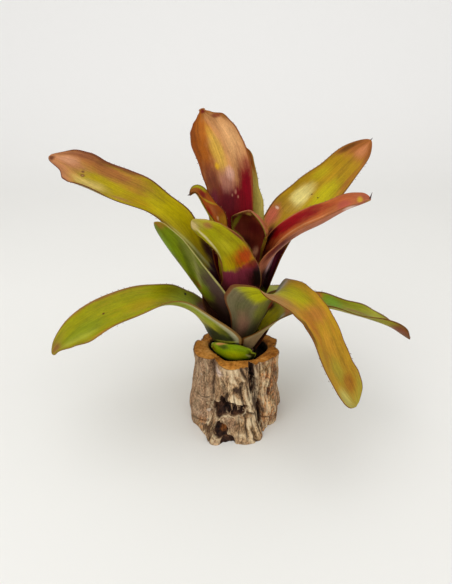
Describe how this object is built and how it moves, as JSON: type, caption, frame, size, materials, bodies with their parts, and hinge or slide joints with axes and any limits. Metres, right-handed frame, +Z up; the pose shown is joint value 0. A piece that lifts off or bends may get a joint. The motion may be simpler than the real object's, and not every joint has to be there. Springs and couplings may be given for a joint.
{
  "type": "potted neoregelia bromeliad",
  "caption": "Neoregelia bromeliad with arching green, golden and wine-red strap leaves in a loose rosette, growing in a short hollowed log.",
  "frame": {"origin": "middle of the log's flat cut base, on the ground", "axes": "+Z up; +X to the right of the front; the front, where the short leaf and the drooping leaf are, faces -Y"},
  "size_m": [0.1865, 0.1377, 0.1578],
  "materials": {
    "log_wood": "rough weathered bark with a raw sawn top",
    "growing_medium": "damp chipped bark",
    "stem": "matt",
    "leaf_green": "waxy satin",
    "leaf_golden": "waxy satin",
    "leaf_red": "waxy satin",
    "leaf_maroon": "waxy satin"
  },
  "bodies": {
    "root": {"wood_log": "log_wood", "growing_medium": "growing_medium", "stem": "stem", "leaf_basal_scale": "leaf_green", "leaf_low_back_right": "leaf_green", "leaf_low_left": "leaf_green", "leaf_low_right": "leaf_green", "leaf_low_back": "leaf_green", "leaf_left_upright": "leaf_green", "leaf_front_drooping": "leaf_golden", "leaf_high_right": "leaf_golden", "leaf_high_left": "leaf_golden", "leaf_front_short": "leaf_golden", "leaf_behind_tall": "leaf_golden", "leaf_right_channelled": "leaf_red", "leaf_tall_back": "leaf_red", "leaf_small_curled": "leaf_red", "leaf_heart": "leaf_maroon"}
  },
  "joints": []
}
